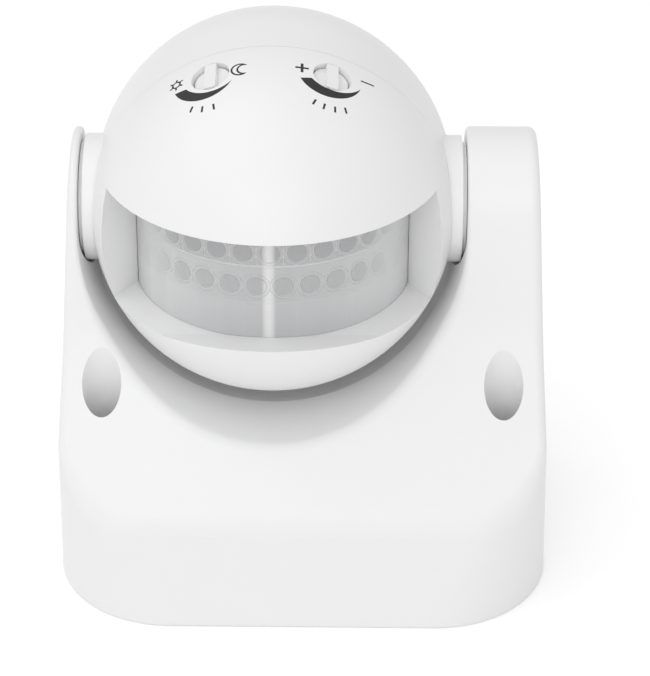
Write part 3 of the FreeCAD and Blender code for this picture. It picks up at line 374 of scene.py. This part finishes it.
whitePlastic = mouldedPlastic("whitePlastic")
dress(whitePlastic, "base_housing", "base_plate")
dress(mouldedPlastic("whitePlastic", None, seamLook), "head_rear_shell")
dress(mouldedPlastic("whitePlastic", domeMarks, seamLook), "head_front_shell")
dress(mouldedPlastic("clearGreyPlastic"), "light_dial", "delay_dial", "friction_rings")
dress(mouldedPlastic("blackPlastic"), "lens_frame", "sensor_holder", "sensor_window")
dress(mouldedPlastic("nylonPlastic"), "terminal_block", "lead_socket")
dress(mouldedPlastic("relayPlastic"), "relay", "light_potentiometer", "delay_potentiometer")
dress(mouldedPlastic("sleevePlastic"), "round_capacitor", "base_leads", "head_leads")
dress(mouldedPlastic("filmPlastic"), "film_capacitor")
dress(mouldedPlastic("cellResin"), "light_cell")
dress(mouldedPlastic("darkRubber"), "base_seal", "cable_grommet")
dress(workedMetal("platedSteel"), "plate_screws", "terminal_screws", "shell_screws", "board_screws",
      "spring_washer")
dress(workedMetal("canSteel"), "sensor_can")
dress(workedMetal("bareBrass"), "terminal_clamps", "pivot_sleeve", "pivot_nut")


boardLook = {
    "varnish": (0.03, 0.20, 0.08),
    "track": (0.06, 0.30, 0.12),
    "trackPitch": 2.54,
    "trackHalf": 0.18,
    "trackDepth": 0.00003,
    "patchScale": 120.0,
    "patchLevel": 0.52,
    "roughness": 0.35,
    "trackGloss": 0.08,
    "coat": 0.3,
}


def boardPaint(look):
    paint = Paint("boardVarnish")
    place = paint.place()
    x, y, z = paint.axes(place)
    lanes, rows = [abs((value * (1000.0 / look["trackPitch"])).fraction() - 0.5) < look["trackHalf"]
                   for value in (x, z)]
    patches = paint.noise(place, look["patchScale"], 1.0) > look["patchLevel"]
    tracks = (lanes & patches) | (rows & (1 - patches))
    colour = paint.blend(tracks, look["varnish"], look["track"])
    return paint.surface(Base_Color=colour, Roughness=look["roughness"] - tracks * look["trackGloss"],
                         Coat_Weight=look["coat"], Normal=paint.bump(tracks, look["trackDepth"]))


dress(boardPaint(boardLook), "circuit_board")


# the lens: a thin milky sheet with two rows of ringed facets and plain strips below them,
# in millimetres and degrees round its own line
lensLook = {
    "milk": (0.63, 0.634, 0.642),
    # the paler milk of the painted light on the lens's sides
    "paintedSideLight": (0.84, 0.843, 0.85),
    "cellShade": (0.475, 0.479, 0.487),
    "ridge": (0.88, 0.88, 0.885),
    # the colour of the painted highlight down the lens's middle
    "paintedHighlight": (0.93, 0.93, 0.93),
    "pitch": 10.9,
    "radius": 24.74,
    "rowLine": 2.3,
    "stripLine": -5.0,
    "upperMiddle": 4.9,
    "lowerMiddle": -1.6,
    "wellRadius": 1.75,
    "circleRadii": (1.85, 2.3),
    "circleWidth": 0.16,
    "outerCircle": 0.8,
    "upperDivider": 0.035,  # widths of the lines between facets, in shares of a facet
    "stripDivider": 0.03,
    "stripStrength": 0.16,
    "rowWidth": 0.32,
    "edgeWidth": 0.2,
    "edgeStrength": 0.35,
    "grooveRate": 22.0,
    "grooveHeight": 0.12,
    "ridgeDepth": 0.00012,
    "fadeEnd": 62.0,  # painted light: the facets fade and the milk gets paler towards the lens's sides
    "fadeSpan": 24.0,
    "fadeLeft": 0.2,
    "sideTurn": 58.0,
    "highlightTurn": -0.6,  # a painted highlight down the middle: a lamp's reflection painted into the colour
    "highlightSpread": 8.0,
    "highlightShare": 0.9,
    "ridgeShare": 0.75,
    "lowerShade": 0.6,
    "upperShade": 0.45,
    "streakShade": 0.3,
    "streakScale": 420.0,
    "streakStretch": (1.0, 1.0, 0.08),
    "alpha": 0.93,
    "ior": 1.5,
    "roughness": 0.22,
    "ridgeGloss": 0.1,
}


def lensPaint(look):
    paint = Paint("milkyLens")
    place = paint.place()
    x, y, z = paint.axes(paint.shifted(place, headPlaces["lensLine"]))
    height = z * 1000.0
    turn = x.math("ARCTAN2", -1 * y) * (360 / math.tau)
    aside = abs(turn)

    # the two rows of facets, half a facet apart, and the strips
    cellWidth = math.radians(look["pitch"]) * look["radius"]
    onCells = (turn / look["pitch"]).fraction() - 0.5
    offCells = (turn / look["pitch"] + 0.5).fraction() - 0.5
    upper = height > look["rowLine"]
    strips = height < look["stripLine"]
    lower = (1 - upper) & (1 - strips)
    upperRing = (offCells * cellWidth).reach(height - look["upperMiddle"])
    lowerRing = (onCells * cellWidth).reach(height - look["lowerMiddle"])
    rings = (upperRing * upper) + (lowerRing * lower)
    # the facets are painted fainter towards the sides, part of the painted light there
    fade = ((look["fadeEnd"] - aside) / look["fadeSpan"] & 1.0) | look["fadeLeft"]

    # raised lines and fine grooves
    inner, outer = [rings.near(radius, look["circleWidth"]) for radius in look["circleRadii"]]
    upperDividers = abs(offCells).near(0.5, look["upperDivider"]) & upper
    stripDividers = abs(onCells).near(0.5, look["stripDivider"]) * look["stripStrength"] & strips
    edge = height.near(look["stripLine"], look["edgeWidth"]) * look["edgeStrength"]
    lines = height.near(look["rowLine"], look["rowWidth"]) | edge
    ridges = (inner | (outer * look["outerCircle"]) | upperDividers | stripDividers | lines) * fade
    grooves = (rings * look["grooveRate"]).sine() * look["grooveHeight"] * (1 - strips)

    # tones, with a painted highlight down the middle and painted light paling the sides
    lowerWells = (lowerRing < look["wellRadius"]) & lower
    upperWells = (upperRing < look["wellRadius"]) & upper
    streaks = paint.noise(place, look["streakScale"], 2.0, look["streakStretch"])
    facets = (lowerWells * look["lowerShade"]) | (upper * look["upperShade"]) | upperWells
    shade = facets * fade | (streaks * look["streakShade"])
    # painted light: the milk gets paler towards the sides
    sides = (aside / look["sideTurn"]) & 1.0
    # painted highlight: a pale band down the middle, a lamp's reflection painted into the colour
    offHighlight = turn - look["highlightTurn"]
    paintedHighlight = ((1 - offHighlight * offHighlight / look["highlightSpread"]) | 0.0) * look["highlightShare"]
    milk = paint.blend(sides * sides, look["milk"], look["paintedSideLight"])
    colour = paint.blend(shade, milk, look["cellShade"])
    colour = paint.blend(ridges * look["ridgeShare"], colour, look["ridge"])
    colour = paint.blend(paintedHighlight, colour, look["paintedHighlight"])
    return paint.surface(Base_Color=colour, Roughness=look["roughness"] + ridges * look["ridgeGloss"],
                         Alpha=look["alpha"], Normal=paint.bump(ridges + grooves, look["ridgeDepth"]),
                         IOR=look["ior"])


dress(lensPaint(lensLook), "fresnel_lens")
print("materials given to", len(nodes), "solids")


# a pale floor, an even sky and two soft lamps
studioLook = {
    "floorSize": 8.0,
    "floorDrop": 0.0002,  # just under the part, so that the two faces never meet
    "floorColour": (0.90, 0.90, 0.90),
    "floorShade": (0.88, 0.88, 0.88),
    "floorSpeckle": 40.0,
    "floorRoughness": 0.9,
    "floorGlow": 0.28,
    "worldStrength": 0.82,
    "key": {"place": (-0.45, -0.10, 1.10), "size": 1.1, "power": 3.0},
    "fill": {"place": (-0.05, -0.86, 0.48), "size": 0.8, "power": 1.9},
    "lampAim": Vector((0.0, 0.0, 0.05)),
}


# the glow shows only to the camera, in reflections and through clear pieces
def floorPaint(look):
    paint = Paint("paleFloor")
    rays = paint.node("LightPath", {}, {})
    seen = [Link(paint, rays.socket.node.outputs[name]) for name in
            ("Is Camera Ray", "Is Glossy Ray", "Is Transmission Ray")]
    glow = (seen[0] | seen[1] | seen[2]) * look["floorGlow"]
    speckle = paint.noise(paint.place(), look["floorSpeckle"], 2.0)
    colour = paint.blend(speckle * 0.1, look["floorColour"], look["floorShade"])
    return paint.surface(Base_Color=colour, Roughness=look["floorRoughness"],
                         Emission_Color=(1.0, 1.0, 1.0, 1.0), Emission_Strength=glow)


def addFloor(look):
    bpy.ops.object.select_all(action="DESELECT")
    bpy.ops.mesh.primitive_plane_add(size=look["floorSize"], location=(0.0, 0.0, -look["floorDrop"]))
    floor = bpy.context.object
    floor.name = "floor"
    floor.data.materials.append(floorPaint(look))


def addLamp(name, lamp, target):
    data = bpy.data.lights.new(name, "AREA")
    data.shape = "SQUARE"
    data.size = lamp["size"]
    data.energy = lamp["power"]
    light = bpy.data.objects.new(name, data)
    bpy.context.scene.collection.objects.link(light)
    place = Vector(lamp["place"])
    aim = (target - place).to_track_quat("-Z", "Y")
    light.matrix_world = Matrix.Translation(place) @ aim.to_matrix().to_4x4()


# an even sky that looks white to the camera, whatever light it gives
def paintWorld(look):
    world = bpy.data.worlds.new("studio")
    bpy.context.scene.world = world
    world.use_nodes = True
    tree = world.node_tree
    tree.nodes.clear()
    rays = tree.nodes.new("ShaderNodeLightPath")
    seen = tree.nodes.new("ShaderNodeMath")
    seen.operation = "MAXIMUM"
    level = tree.nodes.new("ShaderNodeMapRange")
    level.inputs["To Min"].default_value = look["worldStrength"]
    level.inputs["To Max"].default_value = 1.0
    background = tree.nodes.new("ShaderNodeBackground")
    output = tree.nodes.new("ShaderNodeOutputWorld")
    tree.links.new(rays.outputs["Is Camera Ray"], seen.inputs[0])
    tree.links.new(rays.outputs["Is Transmission Ray"], seen.inputs[1])
    tree.links.new(seen.outputs[0], level.inputs["Value"])
    tree.links.new(level.outputs["Result"], background.inputs["Strength"])
    tree.links.new(background.outputs["Background"], output.inputs["Surface"])


addFloor(studioLook)
paintWorld(studioLook)
addLamp("keyLamp", studioLook["key"], studioLook["lampAim"])
addLamp("fillLamp", studioLook["fill"], studioLook["lampAim"])
print("studio lit")
